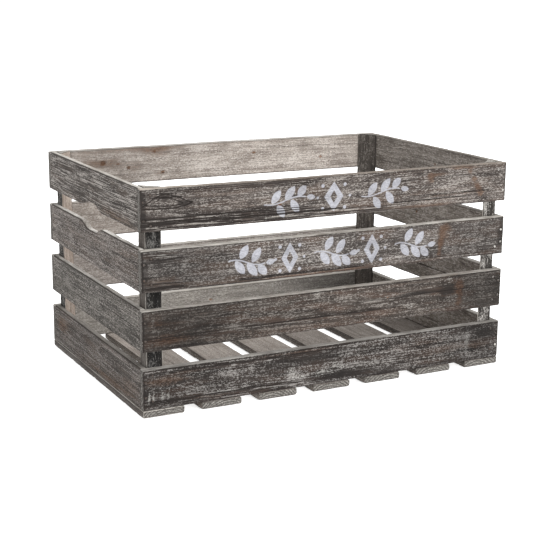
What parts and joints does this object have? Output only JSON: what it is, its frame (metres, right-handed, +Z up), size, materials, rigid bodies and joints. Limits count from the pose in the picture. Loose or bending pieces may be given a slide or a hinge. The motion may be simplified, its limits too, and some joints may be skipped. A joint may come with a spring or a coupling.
{
  "type": "wooden apple crate",
  "caption": "Open-topped slatted fruit crate of weathered boards nailed to triangular corner posts, with a notched hand hole in each end and a slatted bottom.",
  "frame": {"origin": "centre of the underside, midway between the two ends and between the front and back faces", "axes": "+X along the crate's length from the left end to the right end, +Y from the front side to the back side, +Z up; the front is at -Y"},
  "size_m": [0.6, 0.396, 0.3206],
  "materials": {
    "side_slat_wood": "matte",
    "post_wood": "matte",
    "bottom_slat_wood": "matte",
    "nail_steel": "matte"
  },
  "bodies": {
    "root": {"front_slat_1": "side_slat_wood", "front_slat_2": "side_slat_wood", "front_slat_3": "side_slat_wood", "front_slat_4": "side_slat_wood", "back_slat_1": "side_slat_wood", "back_slat_2": "side_slat_wood", "back_slat_3": "side_slat_wood", "back_slat_4": "side_slat_wood", "left_end_slat_1": "side_slat_wood", "left_end_slat_2": "side_slat_wood", "left_end_slat_3": "side_slat_wood", "left_end_slat_4": "side_slat_wood", "right_end_slat_1": "side_slat_wood", "right_end_slat_2": "side_slat_wood", "right_end_slat_3": "side_slat_wood", "right_end_slat_4": "side_slat_wood", "post_front_left": "post_wood", "post_front_right": "post_wood", "post_back_left": "post_wood", "post_back_right": "post_wood", "bottom_slat_1": "bottom_slat_wood", "bottom_slat_2": "bottom_slat_wood", "bottom_slat_3": "bottom_slat_wood", "bottom_slat_4": "bottom_slat_wood", "bottom_slat_5": "bottom_slat_wood", "bottom_slat_6": "bottom_slat_wood", "bottom_slat_7": "bottom_slat_wood", "front_nails": "nail_steel", "back_nails": "nail_steel", "left_end_nails": "nail_steel", "right_end_nails": "nail_steel", "bottom_nails": "nail_steel"}
  },
  "joints": []
}
